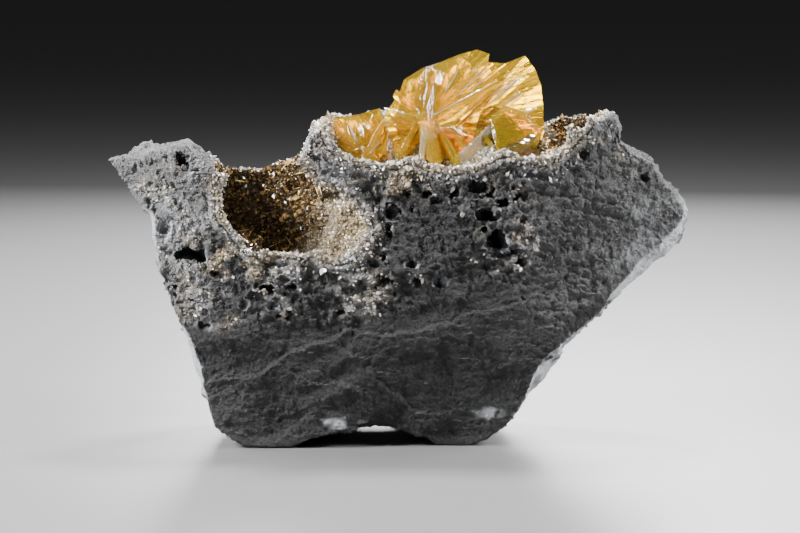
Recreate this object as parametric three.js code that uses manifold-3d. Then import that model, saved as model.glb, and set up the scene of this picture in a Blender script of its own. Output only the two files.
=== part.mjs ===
// A gypsum specimen: a broken block of grey marl with two crystal-lined hollows along its top.
// A fan and a rosette of honey-yellow gypsum blades grow in the right hollow, and the left one
// is open. Millimetres, +Z up, the block standing on two flats, its broken face towards -Y.
import * as THREE from "three";
import { mergeVertices } from "three/addons/utils/BufferGeometryUtils.js";
import Module from "manifold-3d";

const wasm = await Module();
wasm.setup();

// Depths of the block, measured along Y from the middle of the specimen.
const FRONT_DEPTH = 24;
const BACK_DEPTH = 26;
// Longest edge along the block's outline, and the raggedness of its broken faces.
const EDGE_STEP = 7;
const BREAK_ROUGHNESS = 0.7;
// Crystal crust: its thickness, the height of its grains, and how far its rim stands proud.
const CRUST_THICKNESS = 1.9;
const GRAIN_HEIGHT = 1.1;
const RIM_PROUD = 0.3;
// Clearance between touching solids.
const GAP = 0.35;

// The block's outline as seen from the front, clockwise from the left tip: x, z, and how far the
// front edge is set in, which turns the side face there towards the viewer.
const OUTLINE = [
  [-72, 72, 0.5], [-68, 72.5, 0.5], [-61.3, 74.6, 0.5], [-56.3, 75.4, 0.5], [-53, 75.6, 0.5],
  [-49.5, 74.4, 0.5], [-47, 72, 0.5], [-44.5, 68.6, 0.5], [-38.8, 68.9, 0.5], [-34.5, 68.9, 0.5],
  [-27.5, 70.9, 0.5], [-23.5, 73.4, 0.5], [-21.5, 79, 0.5], [-17.5, 81.3, 0.5], [-12, 82, 0.5],
  [-4, 83, 0.5], [3, 81, 0.5], [12.5, 80, 0.5], [25, 79.5, 0.5], [36.3, 79.8, 0.5], [40, 81.4, 0.5],
  [43.6, 82, 0.5], [46.3, 83.2, 0.5], [49, 81.4, 0.5], [51.4, 83, 0.5], [53.6, 82.2, 0.5],
  [55.4, 79.6, 0.5], [55.6, 76.4, 0.5], [58.6, 73.8, 0.5], [63.6, 70.6, 0.5], [66.8, 66.2, 0.5],
  [71.2, 61.2, 0.5], [73, 58, 0.5], [72.4, 55, 1], [71.2, 50, 3.8], [64, 44, 3.4],
  [55.5, 36, 2.6], [47.5, 29.8, 0.6], [42, 25, 1.8],
  [40, 20.3, 4.4], [37, 15.8, 4.2], [32.8, 11.5, 0.8], [30, 7.9, 0.5], [27, 4, 0.8],
  [22.5, 1, 1], [17.5, -0.6, 1], [13.8, -1.1, 1], [10, -0.6, 1], [2, 2.8, 1], [-3, 4, 1],
  [-8, 4.2, 1], [-13.8, 3.2, 1], [-20, 2, 1], [-26.3, -0.6, 1], [-33, -1.2, 1],
  [-38.8, -0.6, 1], [-43, 2, 1], [-46.8, 5, 0.8], [-48.3, 10.5, 0.6], [-50, 14.8, 1.6],
  [-53.5, 25.8, 1.8], [-57.5, 35.3, 1.2], [-60, 44, 0.6], [-61.3, 50.3, 0.6], [-62.5, 57, 1.6],
  [-66.3, 61.5, 2], [-70, 67.9, 1.2],
];
const OUTLINE_CENTRE = [0, 38];

// Broken planes on the back and underside: a point on each and the way it faces.
const BREAKS = [
  { at: [-40, 22, 60], faces: [-0.45, 0.85, 0.3] },
  { at: [-52, 8, 20], faces: [-0.8, 0.55, -0.2] },
  { at: [52, 14, 60], faces: [0.6, 0.75, 0.3] },
  { at: [46, 18, 22], faces: [0.55, 0.7, -0.45] },
  { at: [8, 24.5, 74], faces: [0.08, 0.8, 0.6] },
  { at: [4, 25, 30], faces: [0.12, 0.99, -0.08] },
];

// The open hollow on the left: a bowl, a deep undercut at its left, its floor, the bay towards
// the ridge, the notch in its mouth and its apron.
const LEFT_HOLLOW = [
  { at: [-33.5, -10, 61.5], radii: [16, 21, 19], seed: 3 },
  { at: [-41, -6, 57], radii: [9.5, 15, 9], seed: 5 },
  { at: [-25, -15, 55], radii: [14, 17, 9.5], seed: 7 },
  { at: [-19, -16, 61.5], radii: [9, 14, 7.5], seed: 25 },
  { at: [-25.5, -17, 66], radii: [8.5, 12, 9], seed: 29 },
  { at: [-15, -18, 55.5], radii: [10.5, 12, 10.5], seed: 9 },
];
// The hollow that holds the gypsum: under the rosette, under the fan, three bites along its
// mouth, and its right end.
const RIGHT_HOLLOW = [
  { at: [-7, -5, 84], radii: [13.5, 15, 16], seed: 11 },
  { at: [17, -1, 83], radii: [26, 15, 19], seed: 13 },
  { at: [-5, -18, 81], radii: [16, 14, 13], seed: 15 },
  { at: [13, -20, 81], radii: [19, 12, 13.5], seed: 17 },
  { at: [32, -18, 81.5], radii: [13.5, 12, 12.8], seed: 23 },
  { at: [41.5, -7.5, 85], radii: [10.8, 18.5, 14], seed: 19 },
];

// Pits in the broken face: x, z, half width, half height, depth below the face.
const PITS = [
  [-51.2, 48.8, 4.3, 2.3, 15], [-53, 72, 2.3, 2.4, 3.5], [-58.3, 54.5, 2.2, 3.2, 3.5],
  [22, 58.8, 3.6, 1.7, 10], [24.3, 52.6, 2.8, 3.1, 15], [30.5, 47.2, 3, 1.4, 4.5],
  [-2, 59.4, 1.5, 1.6, 5], [1.6, 64.4, 2, 1.3, 4.5], [19.6, 66, 3.2, 1.7, 4.5],
  [45.6, 74, 2.2, 1.6, 4], [61.2, 67, 1.3, 1.4, 3.5], [-38.4, 36.8, 1.3, 1.9, 4],
  [-31, 36.2, 2.1, 1.5, 3.5], [-48.2, 31.2, 2, 1.4, 3], [3.2, 46.6, 2.1, 1.3, 4],
  [10.3, 42.2, 2, 1.8, 4.5], [-32, 47.2, 3.4, 1.5, 4], [9.5, 62.6, 2.5, 1.1, 4],
];

// Shells of gypsum, each a fan of facets between a focus and a rim, seen from the front as x, z:
// the depth y of the focus, how much y grows along x and along z, and the thickness.
const FAN_SHELLS = [
  {
    focus: [6.8, 79.6],
    rim: [
      [-4, 78.6], [-4.2, 81.4], [-2, 84.6], [0.2, 87.8], [1.4, 91], [5.8, 93.8], [10.4, 95.2],
      [15.5, 97.2], [19.8, 98.4], [22.8, 97.4], [22.4, 94.4], [24.8, 90.4], [21, 83],
    ],
    y: -10.5, slant: 0.04, lean: 0.46, thick: 3, seed: 3,
  },
  {
    focus: [15, 77],
    rim: [
      [20, 92], [22.6, 95.4], [26.8, 95], [31.9, 96.8], [34.4, 93.4], [35.6, 90], [36.3, 84.4],
      [36.4, 78], [34.6, 71],
    ],
    y: -8.5, slant: 0.12, lean: 0.26, thick: 3.4, seed: 5,
  },
  {
    focus: [15, 66],
    rim: [[-1, 83], [4, 89], [11, 93], [20, 93.6], [29, 91], [33.5, 82], [33, 72]],
    y: 1.5, slant: 0.02, lean: 0.2, thick: 4, seed: 7,
  },
];
const ROSETTE_SHELLS = [
  {
    focus: [-9, 72],
    rim: [
      [-18, 69.5], [-21, 75], [-21.2, 78.6], [-19, 80.8], [-13.2, 82], [-9.8, 82.4],
      [-4.6, 84], [-2.4, 80.6], [-3, 72],
    ],
    y: -10.5, slant: 0, lean: 0.3, thick: 2.8, seed: 9,
  },
  {
    focus: [-9, 70],
    rim: [[-17.5, 73], [-17, 80], [-11, 83], [-5, 82.5], [-3, 76]],
    y: 0.5, slant: 0, lean: 0.25, thick: 3.4, seed: 11,
  },
];
// Single broad crystals, by their whole outline, in the same terms; y is that of the first point.
const FAN_PLATES = [
  {
    outline: [[-3.6, 66], [-4.4, 78], [8, 81], [24, 80], [36, 78], [34.6, 69], [26, 65.5]],
    y: -7, slant: 0.03, lean: 0.1, thick: 4,
  },
  {
    outline: [[23, 73], [22.4, 82], [26.5, 85], [31, 83.6], [36, 79], [34, 71], [29.5, 67], [25, 68]],
    y: -13.5, slant: 0.25, lean: 0.2, thick: 4.4,
  },
  {
    outline: [[14, 67], [12.6, 71.5], [22.6, 80.4], [24, 79], [21.6, 74.6], [18.6, 67]],
    y: -14.5, slant: 0.12, lean: 0.12, thick: 3,
  },
  {
    outline: [[7, 75], [7.6, 80.4], [13.6, 80.6], [17.6, 77.4], [13, 72], [9, 70]],
    y: -12, slant: 0.1, lean: -0.2, thick: 3,
  },
];
const ROSETTE_PLATES = [
  {
    outline: [[-9, 68.6], [-13, 69], [-15, 71.8], [-16.8, 75], [-13, 78.8], [-10.4, 76], [-8.8, 71.4]],
    y: -14.5, slant: -0.22, lean: 0.2, thick: 2.2,
  },
];
// Slender gypsum blades: root, tip, width, thickness and roll in degrees about the blade's own
// length; at no roll the broad face looks at the viewer.
const FAN_BLADES = [
  { root: [13, -11.5, 79], tip: [26, -8.5, 90.4], width: 4, thick: 1.3, roll: 58 },
  { root: [6.6, -12.5, 82.6], tip: [9.2, -15.5, 66], width: 4.8, thick: 3.8, roll: 42 },
  { root: [6.4, -11.5, 81.6], tip: [-0.8, -15, 67], width: 6, thick: 1.6, roll: -44 },
  { root: [4, -10.5, 80.6], tip: [-4.6, -15, 68], width: 5, thick: 1.8, roll: 30 },
  { root: [8, -11.5, 81], tip: [16, -15.5, 67], width: 5.4, thick: 1.6, roll: 46 },
  { root: [8.5, -11, 80.6], tip: [12.4, -15.5, 66], width: 5, thick: 1.6, roll: -40 },
  { root: [12, -11.5, 79.6], tip: [20, -15.5, 66.5], width: 5, thick: 1.6, roll: 24 },
  { root: [19.5, -12.5, 78], tip: [30, -16, 67.5], width: 4.4, thick: 1.5, roll: 50 },
  { root: [21, -12, 79], tip: [25.5, -16, 66], width: 4.4, thick: 1.5, roll: -34 },
  { root: [-2, -9, 82.4], tip: [5.5, -12.5, 80.6], width: 4.6, thick: 1.6, roll: 35 },
  { root: [-0.6, -8, 87.6], tip: [6, -11.5, 81.6], width: 3, thick: 1.4, roll: 44 },
  { root: [14, 4, 70], tip: [8, 11, 86], width: 10, thick: 2.6, roll: -24 },
  { root: [19, 3, 69], tip: [30, 9, 85], width: 10, thick: 2.6, roll: -16 },
];
const ROSETTE_BLADES = [
  { root: [-10.4, -14.5, 67], tip: [-3.4, -13.5, 81.6], width: 2.8, thick: 1.3, roll: 44 },
  { root: [-9, -12, 71], tip: [-13.4, -11, 80.8], width: 3.4, thick: 1.4, roll: 40 },
  { root: [-8.6, -11, 71], tip: [-10, -9, 82], width: 3.2, thick: 1.4, roll: -42 },
  { root: [-8, -11, 71], tip: [-6.4, -9.5, 82.4], width: 3.2, thick: 1.4, roll: 38 },
  { root: [-8, -12, 75], tip: [-4.8, -15.5, 67], width: 4.6, thick: 1.6, roll: -30 },
  { root: [-10, -11, 77], tip: [-15, -15, 68.5], width: 4.4, thick: 1.5, roll: 34 },
  { root: [-8, -1, 69], tip: [-11, 6, 80], width: 7, thick: 2.2, roll: 20 },
];
// The plane where the rosette and the fan have grown against each other.
const CONTACT = { at: [-3.2, 0, 78], faces: [0.96, 0.05, 0.28] };

// Needles that stand in the left hollow: foot and tip on the bowl's back wall and apron.
const NEEDLES = [
  { foot: [-38.5, 6, 62], tip: [-33.5, -1, 66.5] },
  { foot: [-40, 4, 56], tip: [-35, -3, 60] },
  { foot: [-24, 6, 66], tip: [-20.5, -2, 70.5] },
  { foot: [-23, 2, 60], tip: [-19, -7, 68] },
  { foot: [-27, 7, 72], tip: [-22.5, 1, 71] },
  { foot: [-30, 8, 62], tip: [-28, 2, 67] },
];

// A repeatable number from 0 to 1 for a point of a lattice.
function hash(x, y, z, seed) {
  const s = Math.sin(x * 127.1 + y * 311.7 + z * 74.7 + seed * 53.3) * 43758.5453;
  return s - Math.floor(s);
}

// Smooth noise from -1 to 1.
function noise(x, y, z, seed) {
  const [ix, iy, iz] = [Math.floor(x), Math.floor(y), Math.floor(z)];
  const fade = (t) => t * t * (3 - 2 * t);
  const [u, v, w] = [fade(x - ix), fade(y - iy), fade(z - iz)];
  const mix = THREE.MathUtils.lerp;
  const row = (dy, dz) =>
    mix(hash(ix, iy + dy, iz + dz, seed), hash(ix + 1, iy + dy, iz + dz, seed), u);
  return 2 * mix(mix(row(0, 0), row(1, 0), v), mix(row(0, 1), row(1, 1), v), w) - 1;
}

// A closed three.js geometry as a solid that can be joined and cut.
function solid(geometry) {
  const bare = geometry.clone();
  bare.deleteAttribute("normal");
  bare.deleteAttribute("uv");
  const merged = mergeVertices(bare, 1e-4);
  return new wasm.Manifold(
    new wasm.Mesh({
      numProp: 3,
      vertProperties: new Float32Array(merged.attributes.position.array),
      triVerts: new Uint32Array(merged.index.array),
    }),
  );
}

function union(solids) {
  return solids.reduce((all, next) => all.add(next));
}

// The largest body of a solid, without the crumbs that a cut can leave.
function largest(shape) {
  const bodies = shape.decompose();
  return bodies.reduce((best, next) => (next.volume() > best.volume() ? next : best));
}

// A rounded hollow or lump: a sphere stretched to its radii, roughened, and taken in by inset;
// bristle draws single points further in at random, as crystal tips.
function blob({ at, radii, seed, rough = 0.07, detail = 2, inset = 0, bristle = 0 }) {
  const geometry = new THREE.IcosahedronGeometry(1, detail);
  const position = geometry.attributes.position;
  const d = new THREE.Vector3();
  const r = new THREE.Vector3(...radii);
  for (let i = 0; i < position.count; i++) {
    d.fromBufferAttribute(position, i).normalize();
    const lump = 1 + rough * noise(d.x * 2.2, d.y * 2.2, d.z * 2.2, seed);
    const [hx, hy, hz] = [d.x, d.y, d.z].map((c) => Math.round(c * 500));
    const normal = d.clone().divide(r).normalize();
    d.multiply(r).multiplyScalar(lump);
    d.addScaledVector(normal, -inset - bristle * hash(hx, hy, hz, seed));
    position.setXYZ(i, d.x + at[0], d.y + at[1], d.z + at[2]);
  }
  return solid(geometry);
}

// A hollow made of several blobs.
function hollow(blobs, options = {}) {
  return union(blobs.map((one) => blob({ ...one, ...options })));
}

// Cuts away everything beyond a plane.
function chop(shape, { at, faces }) {
  const size = 400;
  const normal = new THREE.Vector3(...faces).normalize();
  const box = new THREE.BoxGeometry(size, size, size);
  box.translate(0, 0, size / 2);
  box.applyQuaternion(
    new THREE.Quaternion().setFromUnitVectors(new THREE.Vector3(0, 0, 1), normal),
  );
  box.translate(...at);
  return shape.subtract(solid(box));
}

// Depth of the broken front face: it looks at the viewer in the middle and turns away at both
// ends, and it leans back towards the foot, most of all on the right.
function frontY(x, z) {
  const turn = (t) => THREE.MathUtils.smoothstep(t, 0, 1) * t;
  const left = 13 * turn((-x - 34) / 38);
  const right = 15 * turn((x - 26) / 46);
  const foot = 0.16 * Math.max(0, 26 - z) * (x > -10 ? 1.6 : 0.7);
  const ledge = 1.6 * THREE.MathUtils.smoothstep(z - 24 - 0.35 * (x + 50), -1.5, 1.5);
  return -FRONT_DEPTH + left + right + foot + 1.6 - ledge + 0.9 * noise(x / 14, z / 14, 0, 2);
}

// Depth of the back face, which is nearer the middle at both ends and towards the top.
function backY(x, z) {
  const ends = 12 * Math.pow(Math.min(1, Math.abs(x) / 72), 2.2);
  const top = 0.12 * Math.max(0, z - 50);
  return BACK_DEPTH - ends - top + 1.4 * noise(x / 16, z / 16, 4, 6);
}

// The outline with points added so that no step is longer than EDGE_STEP, each with its inward
// normal, the side inset and its share of the way round.
function denseOutline() {
  const points = [];
  OUTLINE.forEach(([x, z, side], i) => {
    const [nx, nz, nside] = OUTLINE[(i + 1) % OUTLINE.length];
    const length = Math.hypot(nx - x, nz - z);
    const steps = Math.ceil(length / EDGE_STEP);
    const inward = [(nz - z) / length, -(nx - x) / length];
    for (let k = 0; k < steps; k++) {
      const t = k / steps;
      points.push({
        x: x + (nx - x) * t,
        z: z + (nz - z) * t,
        side: side + (nside - side) * t,
        inward,
      });
    }
  });
  return points;
}

// Joins two rings of vertices, each a list of { index, t }, with a strip of triangles.
function zip(outer, inner, faces) {
  let [a, b] = [0, 0];
  const at = (ring, i) => ring[i % ring.length].index;
  const share = (ring, i) => (i < ring.length ? ring[i].t : 1);
  while (a < outer.length || b < inner.length) {
    const takeOuter =
      b >= inner.length || (a < outer.length && share(outer, a + 1) <= share(inner, b + 1));
    if (takeOuter) {
      faces.push(at(outer, a + 1), at(outer, a), at(inner, b));
      a++;
    } else {
      faces.push(at(outer, a), at(inner, b), at(inner, b + 1));
      b++;
    }
  }
}

// The whole block before anything is cut from it, grown outwards by grow on every side.
function block(grow = 0) {
  const outline = denseOutline();
  const count = outline.length;
  const [cx, cz] = OUTLINE_CENTRE;
  const vertices = [];
  const faces = [];
  // A ring of points: share scales the outline towards its centre, inset moves it in, and
  // depth gives y at a point.
  const ring = (number, share, inset, depth) => {
    const made = [];
    for (let i = 0; i < number; i++) {
      const k = Math.round((i * count) / number) % count;
      const p = outline[k];
      const before = outline[(k + count - 1) % count];
      const nx = p.inward[0] + before.inward[0];
      const nz = p.inward[1] + before.inward[1];
      const size = Math.hypot(nx, nz) || 1;
      const move = inset(p) - grow;
      const ex = p.x + (nx / size) * move;
      const ez = p.z + (nz / size) * move;
      const x = cx + (ex - cx) * share;
      const z = cz + (ez - cz) * share;
      const y = depth(x, z);
      const jag = (seed) => BREAK_ROUGHNESS * noise(x / 3.1, y / 3.1, z / 3.1, seed);
      made.push({ index: vertices.length / 3, t: k / count });
      vertices.push(x + jag(21) * (share < 1 ? 1 : 0.6), y + jag(22), z + jag(23) * share);
    }
    return made;
  };
  const front = (x, z) => frontY(x, z) - grow;
  const back = (x, z) => backY(x, z) + grow;
  const side = (p) => p.side;
  const backInset = (p) => (p.z < 16 ? 1 : 3.5) + 1.5 * noise(p.x / 9, p.z / 9, 0, 8);
  const middle = (share) => (x, z) => THREE.MathUtils.lerp(front(x, z), back(x, z), share);
  const frontShares = [0.16, 0.33, 0.5, 0.67, 0.83];
  const backShares = [0.78, 0.5, 0.22];
  const number = (share) => Math.max(8, Math.round(count * share));
  const rings = [
    ...frontShares.map((s) => ring(number(s), s, side, front)),
    ring(count, 1, side, front),
    ring(count, 1, () => 0, middle(0.24)),
    ring(count, 1, (p) => 0.8 + 0.8 * noise(p.x / 8, p.z / 8, 2, 9), middle(0.62)),
    ring(count, 1, backInset, middle(0.93)),
    ...backShares.map((s) => ring(number(0.7 * s), s, backInset, back)),
  ];
  rings.slice(1).forEach((next, i) => zip(next, rings[i], faces));
  // Close the middle of each cap with one vertex.
  const pole = (depth) => {
    vertices.push(cx, depth(cx, cz), cz);
    return vertices.length / 3 - 1;
  };
  const [frontPole, backPole] = [pole(front), pole(back)];
  const first = rings[0];
  const last = rings[rings.length - 1];
  first.forEach((p, i) => faces.push(frontPole, first[(i + 1) % first.length].index, p.index));
  last.forEach((p, i) => faces.push(backPole, p.index, last[(i + 1) % last.length].index));
  const geometry = new THREE.BufferGeometry();
  geometry.setAttribute("position", new THREE.Float32BufferAttribute(vertices, 3));
  geometry.setIndex(faces);
  let shape = solid(geometry);
  for (const { at, faces: way } of BREAKS) {
    const normal = new THREE.Vector3(...way).normalize().multiplyScalar(grow);
    shape = chop(shape, { at: new THREE.Vector3(...at).add(normal).toArray(), faces: way });
  }
  return chop(shape, { at: [0, 0, 0], faces: [0, 0, -1] });
}

// A pit that runs into the front face.
function pit([x, z, halfWidth, halfHeight, depth], i) {
  const y = frontY(x, z);
  return blob({
    at: [x, y, z],
    radii: [halfWidth, depth, halfHeight],
    seed: 40 + i,
    rough: 0.22,
    detail: depth > 10 ? 1 : 0,
  });
}

// A thin crystal with a pointed tip and a square section.
function needle({ foot, tip }, radius = 0.55) {
  const [a, b] = [new THREE.Vector3(...foot), new THREE.Vector3(...tip)];
  const length = a.distanceTo(b);
  const geometry = new THREE.CylinderGeometry(radius * 0.45, radius, length, 4);
  geometry.translate(0, length / 2, 0);
  const way = b.clone().sub(a).normalize();
  geometry.applyQuaternion(
    new THREE.Quaternion().setFromUnitVectors(new THREE.Vector3(0, 1, 0), way),
  );
  geometry.translate(a.x, a.y, a.z);
  return solid(geometry);
}

// The crystal crust that lines a hollow: a layer with a bristling inner face, cut off a little
// proud of the block.
function crust(blobs, grownBlock) {
  const outer = hollow(blobs, { inset: GAP });
  const inner = hollow(blobs, {
    inset: GAP + CRUST_THICKNESS - GRAIN_HEIGHT,
    bristle: GRAIN_HEIGHT,
  });
  return outer.subtract(inner).intersect(grownBlock);
}

// One gypsum blade: a long lens with chamfered edges and a chisel tip.
function blade({ root, tip, width, thick, roll }, i) {
  const [a, b] = [new THREE.Vector3(...root), new THREE.Vector3(...tip)];
  const length = a.distanceTo(b);
  const chamfer = Math.min(thick * 0.4, width * 0.16);
  const half = width / 2 - chamfer;
  const slant = 0.12 * (hash(i, 1, 2, 3) - 0.5);
  const profile = [[-0.7, 0], [-1, 0.72 + slant], [-0.1, 1], [1, 0.68 - slant], [0.7, 0]];
  const shape = new THREE.Shape(
    profile.map(([x, y]) => new THREE.Vector2(x * half, y * (length - chamfer))),
  );
  const geometry = new THREE.ExtrudeGeometry(shape, {
    depth: thick - 2 * chamfer,
    bevelThickness: chamfer,
    bevelSize: chamfer,
    bevelSegments: 1,
  });
  geometry.translate(0, 0, -thick / 2 + chamfer);
  const along = b.clone().sub(a).normalize();
  const viewer = new THREE.Vector3(0, -1, 0);
  const normal = viewer.addScaledVector(along, -viewer.dot(along)).normalize();
  normal.applyAxisAngle(along, THREE.MathUtils.degToRad(roll));
  const across = along.clone().cross(normal);
  geometry.applyMatrix4(
    new THREE.Matrix4().makeBasis(across, along, normal).setPosition(a),
  );
  return solid(geometry);
}

// One broad gypsum crystal: its outline given a thickness with chamfered edges, then sheared so
// that it leans as it does on the specimen.
function plate({ outline, y, slant, lean, thick }) {
  const chamfer = thick * 0.3;
  const [x0, z0] = outline[0];
  const shape = new THREE.Shape(outline.map(([x, z]) => new THREE.Vector2(x - x0, z - z0)));
  const geometry = new THREE.ExtrudeGeometry(shape, {
    depth: thick - 2 * chamfer,
    bevelThickness: chamfer,
    bevelSize: chamfer,
    bevelOffset: -chamfer,
    bevelSegments: 1,
  });
  geometry.translate(0, 0, chamfer - thick / 2);
  // The shape's x, y and depth become the specimen's x, z and -y.
  geometry.applyMatrix4(
    new THREE.Matrix4().set(1, 0, 0, x0, slant, lean, -1, y, 0, 1, 0, z0, 0, 0, 0, 1),
  );
  return solid(geometry);
}

// A shell of gypsum: flat facets that radiate from the focus over half-way points to the rim, in
// ridges and furrows, on its front and on its back.
function shell({ focus, rim, y, slant, lean, thick, seed }) {
  const shares = [0.5, 1];
  const n = rim.length;
  const vertices = [];
  const faces = [];
  // One face of the shell; side is -1 for the front and 1 for the back.
  const layer = (side) => {
    vertices.push(focus[0], y + (side * thick) / 2, focus[1]);
    shares.forEach((share) =>
      rim.forEach(([rimX, rimZ], i) => {
        const [dx, dz] = [(rimX - focus[0]) * share, (rimZ - focus[1]) * share];
        const ridge = 0.7 * share * (hash(i, share, side, seed) - 0.5);
        const depth = y + slant * dx + lean * dz + side * thick * (0.5 + ridge);
        vertices.push(focus[0] + dx, depth, focus[1] + dz);
      }),
    );
  };
  layer(-1);
  layer(1);
  const size = 1 + 2 * n;
  const [halfway, outer] = [1, 1 + n];
  const both = (a, b, c) => faces.push(a, b, c, a + size, c + size, b + size);
  for (let i = 0; i < n - 1; i++) {
    both(0, halfway + i + 1, halfway + i);
    both(halfway + i, halfway + i + 1, outer + i + 1);
    both(halfway + i, outer + i + 1, outer + i);
  }
  const edge = [0, halfway, ...rim.map((_, i) => outer + i), halfway + n - 1];
  edge.forEach((a, i) => {
    const b = edge[(i + 1) % edge.length];
    faces.push(a, b, b + size, a, b + size, a + size);
  });
  const geometry = new THREE.BufferGeometry();
  geometry.setAttribute("position", new THREE.Float32BufferAttribute(vertices, 3));
  geometry.setIndex(faces);
  return solid(geometry);
}

// A named mesh of one solid.
function part(name, shape, material) {
  const mesh = shape.getMesh();
  const geometry = new THREE.BufferGeometry();
  geometry.setAttribute("position", new THREE.BufferAttribute(mesh.vertProperties, 3));
  geometry.setIndex(new THREE.BufferAttribute(mesh.triVerts, 1));
  geometry.computeVertexNormals();
  const made = new THREE.Mesh(geometry, material);
  made.name = name;
  return made;
}

const marl = new THREE.MeshStandardMaterial({ color: 0x5c5d5f, roughness: 0.92, metalness: 0 });
const druse = new THREE.MeshStandardMaterial({ color: 0xb9ad98, roughness: 0.45, metalness: 0 });
const gypsum = new THREE.MeshStandardMaterial({
  color: 0xe2b34c,
  roughness: 0.08,
  metalness: 0,
  transparent: true,
  opacity: 0.75,
});

const whole = block();
const proud = block(RIM_PROUD);
const leftHollow = hollow(LEFT_HOLLOW);
const rightHollow = hollow(RIGHT_HOLLOW);
const matrix = largest(
  whole.subtract(leftHollow).subtract(rightHollow).subtract(union(PITS.map(pit))),
);

const needles = union(NEEDLES.map((one) => needle(one)));
const leftCrust = largest(
  crust(LEFT_HOLLOW, proud)
    .subtract(rightHollow)
    .add(needles.intersect(hollow(LEFT_HOLLOW, { inset: GAP }))),
);
const rightCrust = largest(crust(RIGHT_HOLLOW, proud).subtract(leftHollow));

// What the crystals grow on: the block with its crust, kept clear by the gap.
const ground = block(RIM_PROUD + GAP).subtract(
  hollow(RIGHT_HOLLOW, { inset: GAP + CRUST_THICKNESS + GAP }),
);
const contactNormal = new THREE.Vector3(...CONTACT.faces).normalize();
const fanSide = {
  at: new THREE.Vector3(...CONTACT.at).addScaledVector(contactNormal, GAP).toArray(),
  faces: contactNormal.clone().negate().toArray(),
};
const crystals = (shells, plates, blades) =>
  union([...shells.map(shell), ...plates.map(plate), ...blades.map(blade)]);
const fanCrystals = crystals(FAN_SHELLS, FAN_PLATES, FAN_BLADES);
const rosetteCrystals = crystals(ROSETTE_SHELLS, ROSETTE_PLATES, ROSETTE_BLADES);
const fan = largest(chop(fanCrystals, fanSide).subtract(ground));
const rosette = largest(chop(rosetteCrystals, CONTACT).subtract(ground));

const specimen = new THREE.Group();
specimen.add(
  part("matrix", matrix, marl),
  part("left_hollow_crust", leftCrust, druse),
  part("right_hollow_crust", rightCrust, druse),
  part("gypsum_fan", fan, gypsum),
  part("gypsum_rosette", rosette, gypsum),
);

// The origin is the middle of the specimen's footprint box, on the surface it stands on.
const extent = new THREE.Box3().setFromObject(specimen);
const middle = extent.getCenter(new THREE.Vector3());
specimen.position.set(-middle.x, -middle.y, -extent.min.z);

export default specimen;
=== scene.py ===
"""The looks of a gypsum specimen: a grey marl block whose two hollows are lined with small
crystals, one open and one filled by honey-yellow gypsum. Metres, +Z up, viewed along +Y."""
import math

import bmesh
import bpy
import numpy as np
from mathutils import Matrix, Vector, noise
from mathutils.bvhtree import BVHTree


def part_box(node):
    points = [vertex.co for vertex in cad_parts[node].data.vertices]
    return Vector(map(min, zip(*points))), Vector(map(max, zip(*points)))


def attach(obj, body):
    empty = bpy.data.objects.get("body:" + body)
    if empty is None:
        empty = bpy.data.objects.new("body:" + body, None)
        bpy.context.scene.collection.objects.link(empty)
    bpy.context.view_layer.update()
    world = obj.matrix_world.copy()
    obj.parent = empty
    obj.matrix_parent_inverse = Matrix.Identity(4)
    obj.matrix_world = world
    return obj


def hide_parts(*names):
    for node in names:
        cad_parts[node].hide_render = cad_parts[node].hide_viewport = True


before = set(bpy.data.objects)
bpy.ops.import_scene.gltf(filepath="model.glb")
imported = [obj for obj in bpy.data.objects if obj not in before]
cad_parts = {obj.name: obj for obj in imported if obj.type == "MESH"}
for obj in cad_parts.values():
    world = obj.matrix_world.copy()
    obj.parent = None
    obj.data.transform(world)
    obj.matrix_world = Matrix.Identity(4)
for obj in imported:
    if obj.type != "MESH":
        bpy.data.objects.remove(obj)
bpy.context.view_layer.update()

MM = 0.001
BODY = "root"
CRUSTS = ["left_hollow_crust", "right_hollow_crust"]

# How fine the pieces are made, and how many triangles and small crystals they have.
ROCK_VOXEL = 0.5 * MM
ROCK_TRIANGLES = 190000
CRUST_VOXEL = 0.55 * MM
CRUST_TRIANGLES = 40000
CRUST_CRYSTALS = 12800
ROCK_GRAINS = 15000
# The seed of each piece's random draws.
SEEDS = {"left_hollow_druse": 21, "right_hollow_druse": 22, "rock_grains": 31,
         "gypsum_rosette": 42, "gypsum_fan": 44}


# Meshes

def new_object(name, vertices, faces):
    """An object made of arrays of vertices and faces."""
    mesh = bpy.data.meshes.new(name)
    mesh.from_pydata(vertices.tolist(), [], faces.tolist())
    mesh.update()
    made = bpy.data.objects.new(name, mesh)
    bpy.context.scene.collection.objects.link(made)
    return made


def positions(mesh):
    flat = np.empty(len(mesh.vertices) * 3)
    mesh.vertices.foreach_get("co", flat)
    return flat.reshape(-1, 3)


def set_positions(mesh, points):
    mesh.vertices.foreach_set("co", points.ravel())
    mesh.update()


def vertex_normals(mesh):
    flat = np.empty(len(mesh.vertices) * 3)
    mesh.vertex_normals.foreach_get("vector", flat)
    return flat.reshape(-1, 3)


def triangles(mesh):
    mesh.calc_loop_triangles()
    flat = np.empty(len(mesh.loop_triangles) * 3, dtype=np.int64)
    mesh.loop_triangles.foreach_get("vertices", flat)
    return flat.reshape(-1, 3)


def mask(mesh, name, values):
    """Stores one number per vertex for the materials to read."""
    attribute = mesh.attributes.new(name, "FLOAT", "POINT")
    attribute.data.foreach_set("value", np.clip(values, 0, 1))


def applied(made):
    """Applies an object's modifiers."""
    graph = bpy.context.evaluated_depsgraph_get()
    mesh = bpy.data.meshes.new_from_object(made.evaluated_get(graph))
    made.modifiers.clear()
    old = made.data
    made.data = mesh
    bpy.data.meshes.remove(old)
    return made


def copied(name, node):
    made = bpy.data.objects.new(name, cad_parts[node].data.copy())
    made.data.materials.clear()
    bpy.context.scene.collection.objects.link(made)
    return made


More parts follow.
